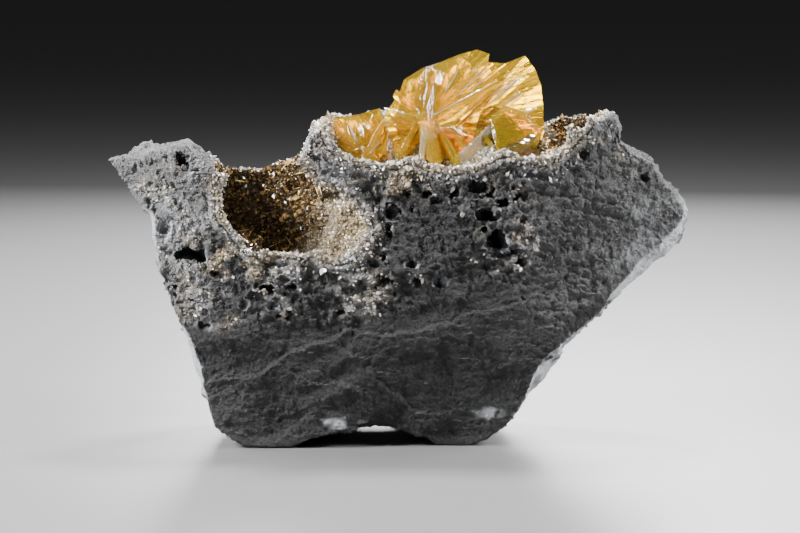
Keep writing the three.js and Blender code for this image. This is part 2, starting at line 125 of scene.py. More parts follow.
def remeshed(name, node, voxel):
    """A finely and evenly meshed copy of a CAD node."""
    made = copied(name, node)
    modifier = made.modifiers.new("even", "REMESH")
    modifier.mode = "VOXEL"
    modifier.voxel_size = voxel
    return applied(made)


def decimated(made, count):
    """Takes an object down to a count of triangles, fewest where it is plain."""
    now = len(triangles(made.data))
    if now > count:
        modifier = made.modifiers.new("fewer", "DECIMATE")
        modifier.ratio = count / now
        applied(made)
    return made


def inside(node, x, y, z):
    """The point at shares x, y and z of a CAD node's box."""
    low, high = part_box(node)
    return np.array(low) + np.array([x, y, z]) * np.array(high - low)


def distance_to(nodes, points):
    """How far each point is from the nearest of some CAD nodes."""
    meshes = [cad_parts[node].data for node in nodes]
    trees = [BVHTree.FromPolygons(positions(m).tolist(), triangles(m).tolist()) for m in meshes]
    return np.array([min(tree.find_nearest(Vector(q))[3] for tree in trees) for q in points])


# Noise; sizes are in millimetres of the object

def fractal(points, size, octaves=3, seed=0):
    """Smooth noise from about -1 to 1 with features of a size."""
    offset = Vector((17.3, 5.1, 9.7)) * seed
    return np.array(
        [noise.fractal(Vector(p) + offset, 1.0, 2.1, octaves) for p in points / (size * MM)]
    )


def chips(points, size, seed=0):
    """Flat tilted chips with steps between them, from about -1 to 1."""
    offset = Vector((8.1, 2.9, 4.3)) * seed
    heights = []
    for p in points / (np.asarray(size) * MM):
        q = Vector(p) + offset
        nearest = noise.voronoi(q)[1][0]
        tilt = noise.cell_vector(nearest * 7.7)
        heights.append((q - nearest).dot(tilt) * 1.6 + tilt.x * 0.5)
    return np.array(heights)


def smoothstep(low, high, value):
    t = np.clip((value - low) / (high - low), 0, 1)
    return t * t * (3 - 2 * t)


def spot(p, x, z, half_width, half_height):
    """1 in the middle of an ellipse on the front and 0 outside it; sizes in millimetres."""
    across = (p[:, 0] / MM - x) / half_width
    up = (p[:, 2] / MM - z) / half_height
    return smoothstep(1.1, 0.5, np.hypot(across, up))


# The rock

# Over x, in millimetres: the height where the smooth lower face ends, whose dark marl is painted
# darker still as shade as it faces down, and the lower edge of the band of vugs and small crystals.
DARK_EDGE = np.array([[-75, 40], [-58, 31], [-46, 32], [-25, 32], [-10, 31], [6, 36], [26, 40],
                      [40, 30], [60, 46]])
BAND_LOW = np.array([[-62, 34], [-46, 33], [-30, 33], [-12, 33], [4, 40], [24, 44], [36, 52],
                     [60, 70]])
# Ledges of the face, as lines of x, z points, and how far the rock stands out below each.
LEDGES = [
    (np.array([[-49, 16], [-35, 19], [-30, 23], [-22, 27], [-12, 30.5], [-4, 28.7], [6, 30.7],
               [18, 34.5], [30, 37]]), 1.1),
    (np.array([[-8, 21], [-2.5, 14], [2.5, 10.5], [10, 9]]), 0.8),
    (np.array([[-32, 24], [-28, 20], [-20, 17], [-9, 16]]), 0.5),
    (np.array([[4, 41], [16, 45], [30, 47], [46, 50]]), 0.5),
    (np.array([[18, 60], [30, 61], [40, 64]]), 0.4),
]
# Pale sugary places of the face: x, z, half width and half height in millimetres, and strength.
SUGAR = [
    (-9, 39, 8, 7, 1), (-11.5, 34, 2.5, 3, 1.2), (-50, 44, 9, 9, 0.5), (-33, 48, 17, 6.5, 1.5),
    (30.5, 51, 4.5, 7.5, 1.2), (0, 68, 10, 4.5, 1.3), (49, 80, 5, 5, 1), (-44, 63, 5, 14, 0.9),
    (56, 72, 6, 5, 0.5), (-46, 34, 10, 5, 0.4), (-52, 73, 6, 7, 0.8), (-61, 62, 7, 8, 1),
    (-53, 57, 6, 7, 0.8),
]
# The white ridge between the hollows, in the same terms without a strength.
RIDGE = (-17, 73, 8, 13)
# Chips near the lower edge where bluish side light is painted, as x, z, half width and half height
# in millimetres.
LIT_CHIPS = [(-14, 6.5, 8, 1.6), (22, 8.5, 4.5, 1.8)]
# A pocket of the left lobe, cut in and painted near black as shade, in the same terms.
POCKET = (-52, 73, 4, 5)
# In the same terms: the large cavity of the face, the place left of it that has no cavities, and
# the lighter facet of the left foot.
CAVITY = (24, 54, 7.5, 9.5)
PLAIN_PLACE = (9, 52, 13, 9)
FOOT_FACET = (-41, 9, 8, 9)
# The level of the noise where the small cavities begin, and how much more makes their middle.
VUG_LEVEL = 0.46
VUG_STEP = 0.26
# How deep the cavities are cut, and how far the rock rises under the crusts, in millimetres.
HOLE_DEPTH = 1.9
LINING_RISE = 0.5
# How far from the crusts the rock counts as their lining, and how high over the floor its relief
# fades in.
LINING_REACH = (0.6 * MM, 2 * MM)
FLOOR_CLEARANCE = (0.8 * MM, 3 * MM)
# The masks that the rock's material reads.
MARL_MASKS = ("light", "lit_facets", "hole", "sugar")


def over_x(line, x):
    """The height of a line of x, z points at x, in metres."""
    return np.interp(x, line[:, 0] * MM, line[:, 1] * MM)


def on_front(n):
    return smoothstep(0.15, 0.5, -n[:, 1])


def ridge(p):
    """1 on the white ridge between the hollows, front and top."""
    return spot(p, *RIDGE) * smoothstep(2 * MM, -5 * MM, p[:, 1])


def vugs(p):
    """1 in the middle of each irregular small cavity of the band, 0 at its rim, negative out."""
    field = fractal(p, 3.6, 4, 4) + 0.5 * fractal(p, 14, 2, 18) + 0.3 * spot(p, *CAVITY)
    return (field - VUG_LEVEL) / VUG_STEP


def sugar(p, n):
    """How thickly the rock is covered with pale grains, apart from the seams of the crusts."""
    ragged = smoothstep(-0.2, 0.2, fractal(p, 4.5, 4, 15))
    patches = sum(weight * spot(p, x, z, w, h) for x, z, w, h, weight in SUGAR)
    return np.clip(on_front(n) * patches + 1.2 * ridge(p), 0, 1.2) * ragged


def band_of_vugs(p, n, wobble):
    """1 in the band of cavities and small crystals across the front."""
    x, z = p[:, 0], p[:, 2]
    band = on_front(n) * smoothstep(-2 * MM, 2 * MM, z - over_x(BAND_LOW, x) + wobble)
    band *= 1 - smoothstep(26 * MM, 36 * MM, x + wobble)
    band *= 1 - 0.8 * smoothstep(-47 * MM, -51 * MM, x) * smoothstep(52 * MM, 58 * MM, z)
    return band * (1 - 0.9 * spot(p, *PLAIN_PLACE))


def tone_and_painted_light(p, low_face, wobble):
    """How light the rock is: its own lighter grey at both ends and on the ridge, with painted light
    where the side lights fall on the ends, and painted shade on the lower face, which faces down.
    """
    left = smoothstep(-44 * MM, -54 * MM, p[:, 0] + wobble)
    right = smoothstep(18 * MM, 48 * MM, p[:, 0] + wobble)
    light = 0.14 + 0.86 * np.maximum(np.maximum(left, 0.55 * right), ridge(p))
    return light * (1 - low_face) + low_face * (0.1 + 0.1 * spot(p, *FOOT_FACET))


def painted_side_light(p, n):
    """Painted light: a pale bluish colour where the side lights fall on the rock's steep sides and
    on chips of the face near its lower edge.
    """
    steep = smoothstep(0.4, 0.65, np.abs(n[:, 0])) * smoothstep(64 * MM, 56 * MM, p[:, 2])
    lit_facets = steep * (n[:, 1] < 0.5) * smoothstep(-0.6, -0.1, fractal(p, 7, 3, 17))
    lit_chips = on_front(n) * sum(spot(p, *lit_chip) for lit_chip in LIT_CHIPS)
    return np.maximum(lit_facets, lit_chips * smoothstep(-0.3, 0.1, fractal(p, 4, 3, 27)))


def holes(p, n, band):
    """1 in the band's cavities and the left lobe's pocket, which are cut in and painted near black
    as shade.
    """
    hole = smoothstep(0, 1, vugs(p)) * smoothstep(0.4, 0.9, band)
    pocket = on_front(n) * spot(p, *POCKET) * smoothstep(-0.5, 0.1, fractal(p, 3, 3, 28))
    return np.maximum(hole, 0.8 * pocket)


def rock_masks(p, n):
    """Where the rock is which: each a number from 0 to 1 for every vertex."""
    wobble = fractal(p, 8, 4, 1) * 4 * MM
    above = smoothstep(-2.5 * MM, 2.5 * MM, p[:, 2] - over_x(DARK_EDGE, p[:, 0]) + wobble)
    low_face = on_front(n) * (1 - above)
    band = band_of_vugs(p, n, wobble)
    hole = holes(p, n, band)
    halo = smoothstep(-1.4, -0.4, vugs(p)) * (1 - hole) * band
    return {
        "low_face": low_face,
        "band": band,
        "light": tone_and_painted_light(p, low_face, wobble),
        "lit_facets": painted_side_light(p, n),
        "hole": hole,
        "sugar": np.clip(sugar(p, n) + 0.4 * halo, 0, 1),
    }


def ledge(p, line, height):
    """How far the rock stands out under a ledge, in millimetres."""
    x, z = p[:, 0] / MM, p[:, 2] / MM
    below = np.interp(x, line[:, 0], line[:, 1]) - z + 1.2 * fractal(p, 5, 3, 24)
    ends = smoothstep(line[0, 0] - 3, line[0, 0] + 3, x)
    ends *= smoothstep(line[-1, 0] + 3, line[-1, 0] - 3, x)
    return height * ends * smoothstep(-0.3, 0.3, below) * np.exp(-np.maximum(below, 0) / 6)


def rock_relief(p, n, masks):
    """How far the rock's relief stands out at each vertex, in millimetres."""
    rough = 1 - 0.62 * masks["low_face"] - 0.75 * masks["lit_facets"]
    rough = np.clip(rough, 0.15, 1) * (1 + 0.4 * masks["light"])
    relief = 0.7 * fractal(p, 12, 4, 2) - 0.5
    relief += rough * (0.5 * chips(p, (7, 6, 4.5), 3) + 0.32 * chips(p, (2.6, 2.4, 2), 5))
    relief += (0.25 + 0.75 * rough) * 0.42 * fractal(p, 1.5, 3, 6)
    relief += masks["band"] * 0.8 * fractal(p, 3.6, 4, 10)
    relief += masks["sugar"] * 0.5 * (0.4 + fractal(p, 2.4, 3, 11))
    relief += 1.6 * spot(p, *CAVITY) * fractal(p, 3, 3, 29)
    front = on_front(n)
    for line, height in LEDGES:
        relief += front * ledge(p, line, height)
    return relief


def rock():
    """The dressed block, which the grains then grow on."""
    made = remeshed("marl_block", "matrix", ROCK_VOXEL)
    mesh = made.data
    p, n = positions(mesh), vertex_normals(mesh)
    masks = rock_masks(p, n)
    clear_of_floor = smoothstep(*FLOOR_CLEARANCE, p[:, 2])
    lining = 1 - smoothstep(*LINING_REACH, distance_to(CRUSTS, p))
    relief = rock_relief(p, n, masks) - HOLE_DEPTH * masks["hole"]
    relief = (relief * (1 - lining) + LINING_RISE * lining) * clear_of_floor
    set_positions(mesh, p + n * (relief * MM)[:, None])
    masks["sugar"] = np.maximum(masks["sugar"], lining * smoothstep(-0.5, 0.3, fractal(p, 5, 3, 7)))
    for name in MARL_MASKS:
        mask(mesh, name, masks[name])
    decimated(made, ROCK_TRIANGLES)
    made.data.materials.append(marl_material())
    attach(made, BODY)
    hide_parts("matrix")
    return made


# Small crystals

# One small crystal along +Z, about 1 high: two ends and a zigzag girdle of six corners.
GIRDLE = 6
ZIGZAG = 0.3
CRYSTAL_TOP = 0.62
CRYSTAL_FOOT = -0.5
# How much the small crystals differ in size, as the spread of its logarithm.
SIZE_SPREAD = 0.42


def crystal_shape():
    turns = np.arange(GIRDLE)
    angles = turns * 2 * math.pi / GIRDLE
    heights = np.where(turns % 2 == 0, ZIGZAG, -ZIGZAG) * 0.5
    girdle = np.stack([np.cos(angles) * 0.5, np.sin(angles) * 0.5, heights], 1)
    vertices = np.vstack([girdle, [[0, 0, CRYSTAL_TOP], [0, 0, CRYSTAL_FOOT]]])
    following = (turns + 1) % GIRDLE
    top = np.full(GIRDLE, GIRDLE)
    faces = [np.stack([turns, following, top], 1), np.stack([following, turns, top + 1], 1)]
    return vertices, np.vstack(faces)


def frames_along(directions, draw):
    """Rotations that turn +Z to each direction, with a random turn about it."""
    z = directions / np.linalg.norm(directions, axis=1)[:, None]
    x = np.cross(draw.normal(size=z.shape), z)
    x /= np.linalg.norm(x, axis=1)[:, None]
    return np.stack([x, np.cross(z, x), z], 2)


def many(shape, at, directions, sizes, draw):
    """Copies of a shape as arrays of vertices and faces; sizes holds x, y and z of each copy."""
    vertices, faces = shape
    scaled = vertices * sizes[:, None, :]
    turned = np.einsum("nij,nkj->nki", frames_along(directions, draw), scaled)
    steps = np.arange(len(at)) * len(vertices)
    placed = (turned + at[:, None, :]).reshape(-1, 3)
    return placed, (faces[None] + steps[:, None, None]).reshape(-1, 3)


def spread(mesh, count, draw, density):
    """Random points on a mesh with their normals; density weighs the vertices."""
    p, t = positions(mesh), triangles(mesh)
    a, b, c = p[t[:, 0]], p[t[:, 1]], p[t[:, 2]]
    cross = np.cross(b - a, c - a)
    weight = np.linalg.norm(cross, axis=1) * density[t].mean(1)
    chosen = draw.choice(len(t), count, p=weight / weight.sum())
    u, v = draw.random((2, count, 1))
    over = (u + v) > 1
    u, v = np.where(over, 1 - u, u), np.where(over, 1 - v, v)
    at = a[chosen] + (b - a)[chosen] * u + (c - a)[chosen] * v
    return at, cross[chosen] / np.linalg.norm(cross[chosen], axis=1)[:, None]


def grown(at, normals, size, draw, lean=0.8):
    """Small crystals that stand on points, as vertices, faces and a random share of each."""
    count = len(at)
    directions = normals + lean * draw.normal(size=(count, 3))
    length = size * np.exp(draw.normal(0, SIZE_SPREAD, count))
    width = length * draw.uniform(0.5, 0.9, count)
    sizes = np.stack([width, width * draw.uniform(0.7, 1.1, count), length], 1)
    footing = at + normals * (length * 0.1)[:, None]
    vertices, faces = many(crystal_shape(), footing, directions, sizes, draw)
    return vertices, faces, np.repeat(0.05 + 0.95 * draw.random(count) ** 1.3, GIRDLE + 2)


def joined(name, parts):
    """One object of several (vertices, faces, grain), where grain is a mask of the whole."""
    starts = np.cumsum([0] + [len(vertices) for vertices, _, _ in parts])
    vertices = np.vstack([part[0] for part in parts])
    faces = np.vstack([part[1] + start for part, start in zip(parts, starts)])
    made = new_object(name, vertices, faces)
    mask(made.data, "grain", np.concatenate([part[2] for part in parts]))
    return made


# The crusts and the grains on the rock

# How long the small crystals are on the crusts and on the rock.
CRUST_GRAIN = 0.66 * MM
ROCK_GRAIN = 0.6 * MM
# The pale, sugary apron of the open hollow: its middle, and how far it reaches.
APRON = np.array([-13, -18, 50]) * MM
APRON_REACH = (13 * MM, 21 * MM)
# Golden needles in the open hollow: how many, and their lengths and width in millimetres.
NEEDLES = 36
NEEDLE_LENGTHS = (2, 8)
NEEDLE_WIDTH = 0.35
# The brownish lips below the open hollow and below the left end of the gypsum: x, z, half width
# and half height in millimetres.
LEFT_LIP = (-36, 50, 18, 9)
FRONT_LIP = (0, 69, 11, 7)
# Where the right hollow turns from white and cream to brown.
BROWN_FROM = np.array([33, -15]) * MM


def crust_base(name, node):
    """The layer that the small crystals stand on, as an object."""
    made = remeshed(name, node, CRUST_VOXEL)
    p, n = positions(made.data), vertex_normals(made.data)
    lumps = 0.5 * fractal(p, 3, 3, 25) + 0.3 * chips(p, 1.7, 12) - 0.1
    inner = 0.3 + 0.7 * exposed(p)
    set_positions(made.data, p + n * (lumps * inner * MM)[:, None])
    return decimated(made, CRUST_TRIANGLES)


def left_tone(p):
    """How brown the open hollow's crystals are."""
    distance = np.linalg.norm(p - APRON, axis=1) + 2 * MM * fractal(p, 3, 3, 13)
    lip = smoothstep(-15 * MM, -20 * MM, p[:, 1])
    return smoothstep(*APRON_REACH, distance) * (1 - 0.75 * lip)


def right_tone(p):
    """How brown the crystals of the hollow with the gypsum are."""
    right = smoothstep(BROWN_FROM[0] - 5 * MM, BROWN_FROM[0] + 5 * MM, p[:, 0])
    behind = smoothstep(BROWN_FROM[1] - 4 * MM, BROWN_FROM[1] + 4 * MM, p[:, 1])
    return behind * (0.3 + 0.6 * right) + 0.25 * fractal(p, 3, 2, 14)


def lip_grey(p):
    """How grey a crust is: its lip blends into the rock."""
    return 0.45 * smoothstep(-13 * MM, -19 * MM, p[:, 1]) + 0.7 * fractal(p, 5, 3, 26)


def needles(base, draw):
    """Thin golden crystals that stand in the open hollow, as vertices, faces and grain."""
    p = positions(base.data)
    brown = smoothstep(0.6, 1.0, left_tone(p)) * exposed(p) * (p[:, 2] < 70 * MM)
    rightwards = 0.3 + smoothstep(-40 * MM, -22 * MM, p[:, 0])
    at, normals = spread(base.data, NEEDLES, draw, brown * rightwards)
    length = draw.uniform(*NEEDLE_LENGTHS, NEEDLES) * MM
    width = np.full(NEEDLES, NEEDLE_WIDTH * MM)
    sizes = np.stack([width, width * 0.7, length], 1)
    directions = normals + 0.7 * draw.normal(size=(NEEDLES, 3))
    vertices, faces = many(crystal_shape(), at, directions, sizes, draw)
    return vertices, faces, np.ones(len(vertices))


def exposed(p):
    """1 where a crust faces the open, and 0 where it lies against the rock."""
    return smoothstep(0.45 * MM, 0.9 * MM, distance_to(["matrix"], p))


def crust(name, node, tone, material, with_needles=False):
    """A crust of small crystals in place of a CAD node; tone gives how brown it is."""
    draw = np.random.default_rng(SEEDS[name])
    base = crust_base(name + "_base", node)
    vertices, faces = positions(base.data), triangles(base.data)
    at, normals = spread(base.data, CRUST_CRYSTALS, draw, exposed(vertices))
    parts = [(vertices, faces, np.zeros(len(vertices))), grown(at, normals, CRUST_GRAIN, draw)]
    if with_needles:
        parts.append(needles(base, draw))
    made = joined(name, parts)
    p = positions(made.data)
    mask(made.data, "tone", tone(p))
    mask(made.data, "grey", lip_grey(p))
    bpy.data.objects.remove(base)
    made.data.materials.append(material)
    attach(made, BODY)
    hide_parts(node)


def rock_grains(block, material):
    """Sugary grains on the rock round the hollows, on the ridge and on the pale places."""
    draw = np.random.default_rng(SEEDS["rock_grains"])
    p = positions(block.data)
    seam = 1.2 * np.exp(-distance_to(CRUSTS, p) / (1.3 * MM))
    seam *= smoothstep(-0.3, 0.2, fractal(p, 4, 3, 8))
    sugar_and_side_light = np.empty(len(p))
    block.data.attributes["sugar"].data.foreach_get("value", sugar_and_side_light)
    at, normals = spread(block.data, ROCK_GRAINS, draw, np.maximum(seam, sugar_and_side_light ** 2))
    made = joined("rock_grains", [grown(at, normals, ROCK_GRAIN, draw)])
    p = positions(made.data)
    warm = np.maximum(spot(p, *LEFT_LIP), spot(p, *FRONT_LIP))
    mask(made.data, "tone", 0.05 + 0.35 * warm + 0.4 * fractal(p, 6, 3, 16))
    mask(made.data, "grey", 0.8 - 0.5 * warm + 0.6 * fractal(p, 7, 3, 21))
    made.data.materials.append(material)
    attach(made, BODY)


# Gypsum

# A blade's section, as shares of half its width and half its thickness, and along it the share
# of its length with the share of its full width there.
BLADE_SECTION = [(1, 0.1), (0.55, 1), (-0.5, 1), (-1, -0.1), (-0.55, -1), (0.5, -1)]
BLADE_STATIONS = [(0, 0.5), (0.15, 0.9), (0.75, 1), (1, 0.45)]
# The longest edge that the copies of the CAD crystals keep, so that their lines are smooth.
FACET_EDGE = 1.5 * MM
# How often their long edges are halved, and how near two of their vertices count as one.
HALVINGS = 4
WELD = 1e-6
# The part of a flat crystal's outline that its front and back keep inside the bevel.
BEVEL = 0.86
# How wide a rim is searched round an angle, in degrees, and the least reach.
RIM_WINDOW = 9
LEAST_REACH = 3 * MM
# The distance from a focus that counts as 1 for the lines on the crystals.
RAY_LENGTH = 40 * MM
# Where each group of blades faces; the brown blades face as the shell does.
CROWN_FACING = (0.05, -1, 0.46)
SHELL_FACING = (0.05, -1, 0.35)
LOW_FACING = (0, -1, -0.1)
ROSETTE_FACING = (0, -1, 0.3)
ROD_FACING = (0, -1, 0.2)
# Single narrow crystals across the front of the gypsum: root, tip and width in millimetres.
BROWN_RODS = [
    ((13.2, -13.6, 79), (25.2, -11, 90), 0.6), ((24, -16.4, 72), (33, -15.4, 69.4), 0.5),
    ((23.4, -16.6, 73.4), (31.6, -16, 68), 0.5), ((5.4, -14, 80.5), (-2, -15.6, 69), 0.5),
    ((10.2, -14, 79), (16, -16.4, 68.4), 0.5),
]
PALE_RODS = [
    ((5.2, -16.6, 69.4), (6.4, -14.6, 80.6), 2), ((8.8, -16.6, 69.4), (7, -14.6, 80.2), 1.1),
    ((-4, -11.6, 84.4), (6.2, -13.2, 81.8), 0.4), ((6.6, -13.2, 81.8), (24.4, -7.4, 91), 0.4),
]
ROSETTE_RODS = [
    ((-10.8, -15.5, 70.5), (-5.2, -14.6, 76.2), 0.9), ((-9.8, -13.5, 74), (-12.8, -12, 80.4), 0.7),
    ((-9, -13.2, 73.6), (-8.4, -10.8, 81), 0.6),
]
# A flat crystal in front of the fan that stands out by its paler colour: outline as x, z points,
# depth, slant, lean and thickness, all as slab takes them.
PALE_LENS = ([[14.8, 69], [13.6, 72.5], [22.4, 80.6], [23.4, 79], [20.8, 74.4], [18.4, 68.4]],
             -16.2, 0.12, 0.12, 0.9)
# The focus and the radius of the brown crystals at the right of the fan.
BROWN_FOCUS = np.array([20.5, -14.9, 73]) * MM
BROWN_REACH = 15 * MM


def blade(root, tip, facing, width, thick):
    """A closed flat blade with bevelled edges and a chisel tip, as vertices and faces."""
    along = tip - root
    across = np.cross(along, facing)
    across /= np.linalg.norm(across)
    out = np.cross(across, along)
    out /= np.linalg.norm(out)
    rings = [
        [root + along * s + across * (u * width * w / 2) + out * (v * thick * w / 2)
         for u, v in BLADE_SECTION]
        for s, w in BLADE_STATIONS
    ]
    count = len(BLADE_SECTION)
    faces = []
    for ring in range(len(rings) - 1):
        for i in range(count):
            a, b = ring * count + i, ring * count + (i + 1) % count
            faces += [[a, b, b + count], [a, b + count, a + count]]
    last = (len(rings) - 1) * count
    for i in range(1, count - 1):
        faces += [[0, i + 1, i], [last, last + i, last + i + 1]]
    return np.array(rings).reshape(-1, 3), np.array(faces)


def radiating(focus, facing, angles, reach, draw, widths, thicks, out, roll=0.5, start=0.08):
    """Blades that radiate from a focus in the plane that looks along facing. angles are from up,
    clockwise to the viewer, in degrees, reach gives the radius at an angle, and out how far the
    blades stand in front of the plane in millimetres. roll is how far they turn at random about
    their own length, in radians, and start the share of the reach where they begin."""
    facing = np.array(facing) / np.linalg.norm(facing)
    right = np.cross((0, 0, 1), facing)
    right /= np.linalg.norm(right)
    high = np.cross(facing, right)
    parts = []
    for angle in angles:
        angle += draw.normal() * 2.5
        way = right * math.sin(math.radians(angle)) + high * math.cos(math.radians(angle))
        tip = focus + way * reach(angle) * draw.uniform(0.72, 0.95)
        root = focus + way * reach(angle) * start * draw.uniform(0.6, 1.4)
        tilt = draw.normal() * roll
        face = facing * math.cos(tilt) + np.cross(way, facing) * math.sin(tilt)
        depth = facing * draw.uniform(*out) * MM
        width, thick = draw.uniform(*widths) * MM, draw.uniform(*thicks) * MM
        parts.append(blade(root + depth, tip + depth, face, width, thick))
    return parts


def rim_of(node, focus):
    """A function that gives how far a CAD node reaches from a focus, seen from the front."""
    p = positions(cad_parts[node].data)
    x, z = p[:, 0] - focus[0], p[:, 2] - focus[2]
    angles, radii = np.degrees(np.arctan2(x, z)), np.hypot(x, z)

    def reach(angle):
        apart = np.abs((angles - angle + 180) % 360 - 180)
        return radii[apart < RIM_WINDOW].max(initial=LEAST_REACH)

    return reach


def refined(name, node):
    """A copy of a CAD crystal group with no edge longer than FACET_EDGE, as vertices and faces."""
    made = copied(name, node)
    mesh = bmesh.new()
    mesh.from_mesh(made.data)
    bmesh.ops.remove_doubles(mesh, verts=mesh.verts, dist=WELD)
    for _ in range(HALVINGS):
        long = [edge for edge in mesh.edges if edge.calc_length() > FACET_EDGE]
        bmesh.ops.subdivide_edges(mesh, edges=long, cuts=1)
        bmesh.ops.triangulate(mesh, faces=mesh.faces)
    mesh.to_mesh(made.data)
    mesh.free()
    refined_mesh = positions(made.data), triangles(made.data)
    bpy.data.objects.remove(made)
    return refined_mesh


def gypsum_piece(name, parts, focus, material, replaced=None):
    """One object of several crystals, with each vertex's direction and distance from a focus."""
    made = joined(name, [(vertices, faces, np.zeros(len(vertices))) for vertices, faces in parts])
    from_focus = positions(made.data) - focus
    mask(made.data, "ray", 0.5 + np.arctan2(from_focus[:, 0], from_focus[:, 2]) / (2 * math.pi))
    mask(made.data, "far", np.linalg.norm(from_focus, axis=1) / RAY_LENGTH)
    made.data.materials.append(material)
    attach(made, BODY)
    if replaced:
        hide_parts(replaced)


def slab(outline, y, slant, lean, thick):
    """A flat crystal by its outline as x, z points in millimetres; y is the depth of its first
    point, and slant and lean are how much y grows along x and z. Vertices and faces."""
    outline = np.array(outline)
    x, z = outline.T
    depth = y + slant * (x - x[0]) + lean * (z - z[0])
    middle = outline.mean(0)
    inner = middle + (outline - middle) * BEVEL
    front = np.stack([inner[:, 0], depth - thick / 2, inner[:, 1]], 1)
    girdle = np.stack([x, depth, z], 1)
    back = front + [0, thick, 0]
    n = len(outline)
    faces = []
    for i in range(n):
        j = (i + 1) % n
        for a in (0, n):
            faces += [[a + i, a + j, a + n + j], [a + i, a + n + j, a + n + i]]
    for i in range(1, n - 1):
        faces += [[0, i + 1, i], [2 * n, 2 * n + i, 2 * n + i + 1]]
    return np.vstack([front, girdle, back]) * MM, np.array(faces)


def rods(lines):
    """Single blades as vertices and faces, by root, tip and width in millimetres."""
    return [
        blade(np.array(root) * MM, np.array(tip) * MM, ROD_FACING, width * MM, 0.6 * width * MM)
        for root, tip, width in lines
    ]


def fan(honey, pearly, amber):
    """The large group: crown, low blades, and the paler and brown ones in front of them."""
    node = "gypsum_fan"
    draw = np.random.default_rng(SEEDS[node])
    focus = inside(node, 0.261, 0.361, 0.409)
    reach = rim_of(node, focus)
    crown = radiating(focus, CROWN_FACING, np.arange(-80, 62, 16), reach, draw,
                      (4, 7), (0.4, 0.8), (0.6, 1.2), 0.15)
    streaks = radiating(focus, CROWN_FACING, np.arange(12, 64, 7), reach, draw,
                        (0.4, 0.9), (0.3, 0.7), (1, 1.5), 0.3, 0.62)
    low = radiating(focus, LOW_FACING, np.arange(98, 262, 9), reach, draw,
                    (2, 5), (0.6, 1.4), (-0.2, 2.2), 0.8)
    shell_focus = inside(node, 0.46, 0.4, 0.3)
    shell = radiating(shell_focus, SHELL_FACING, np.arange(36, 72, 3.5), rim_of(node, shell_focus),
                      draw, (0.8, 1.8), (0.3, 0.6), (0.6, 1.3), 0.3, 0.6)
    gypsum_piece("gypsum_fan_crystals", [refined("fan_base", node), *low, *crown], focus, honey,
                 node)
    pale = [*streaks, *shell, slab(*PALE_LENS), *rods(PALE_RODS)]
    gypsum_piece("gypsum_fan_pearly_crystals", pale, focus, pearly)
    brown = radiating(BROWN_FOCUS, SHELL_FACING, np.arange(20, 110, 17), lambda angle: BROWN_REACH,
                      draw, (5, 8), (0.5, 1), (-0.2, 1), 0.25, 0.1)
    gypsum_piece("gypsum_fan_brown_crystals", [*rods(BROWN_RODS), *brown], focus, amber)


def rosette(honey, pearly):
    """The smaller group at the left, with its own focus."""
    node = "gypsum_rosette"
    draw = np.random.default_rng(SEEDS[node])
    focus = inside(node, 0.55, 0.4, 0.15)
    petals = radiating(focus, ROSETTE_FACING, np.arange(-80, 75, 15), rim_of(node, focus), draw,
                       (3, 5), (0.6, 1.2), (0.4, 1.4))
    gypsum_piece("gypsum_rosette_crystals", [refined("rosette_base", node), *petals], focus, honey,
                 node)
    gypsum_piece("gypsum_rosette_pearly_crystals", rods(ROSETTE_RODS), focus, pearly)


# Materials

# Where a Mix node that mixes colours has its two inputs and its output.
MIX_FIRST = 6
MIX_SECOND = 7
MIX_RESULT = 2
# The index of refraction of the small crystals and of the gypsum.
DRUSE_IOR = 1.6
GYPSUM_IOR = 1.52
# What a path through honey gypsum absorbs: the colour that it leaves, and the density per metre.
HONEY = (0.99, 0.9, 0.02, 1)
HONEY_DENSITY = 800
# How often the fine lines of the crystals change round a focus and over RAY_LENGTH outwards, and
# how high they are at that distance, in metres.
LINES_AROUND = 170
LINES_ALONG = 3
LINES_HEIGHT = 0.0015
# How high the two sizes of the rock's finest grain are, in metres.
FINE_GRAIN_HEIGHT = 0.001
GRAIN_HEIGHT = 0.0028


class Nodes:
    """A short way to write a material's nodes."""

    def __init__(self, name):
        self.material = bpy.data.materials.new(name)
        self.material.use_nodes = True
        self.tree = self.material.node_tree
        self.shader = self.tree.nodes["Principled BSDF"]

    def add(self, kind, inputs=None, **settings):
        node = self.tree.nodes.new(kind)
        for name, value in settings.items():
            setattr(node, name, value)
        for name, value in (inputs or {}).items():
            self.feed(node.inputs[name], value)
        return node

    def feed(self, socket, value):
        if isinstance(value, bpy.types.NodeSocket):
            self.tree.links.new(value, socket)
        else:
            socket.default_value = value

    def set(self, **inputs):
        for name, value in inputs.items():
            self.feed(self.shader.inputs[name.replace("_", " ")], value)

    def place(self):
        return self.add("ShaderNodeTexCoord").outputs["Object"]

    def read(self, name):
        return self.add("ShaderNodeAttribute", attribute_name=name).outputs["Fac"]

    def noise(self, scale, detail=4, roughness=0.55, place=None):
        node = self.add(
            "ShaderNodeTexNoise",
            {"Vector": place or self.place(), "Scale": scale, "Detail": detail,
             "Roughness": roughness},
        )
        return node.outputs["Fac"]

    def ramp(self, value, *stops):
        node = self.add("ShaderNodeValToRGB", {"Fac": value})
        elements = node.color_ramp.elements
        for i, (position, colour) in enumerate(stops):
            element = elements[i] if i < 2 else elements.new(position)
            element.position = position
            element.color = (*colour, 1)
        return node.outputs["Color"]

    def mix(self, share, first, second):
        node = self.add("ShaderNodeMix", {"Factor": share}, data_type="RGBA")
        self.feed(node.inputs[MIX_FIRST], first)
        self.feed(node.inputs[MIX_SECOND], second)
        return node.outputs[MIX_RESULT]

    def bump(self, height, distance, strength=1.0, normal=None):
        node = self.add(
            "ShaderNodeBump", {"Height": height, "Distance": distance, "Strength": strength}
        )
        if normal is not None:
            self.feed(node.inputs["Normal"], normal)
        return node.outputs["Normal"]


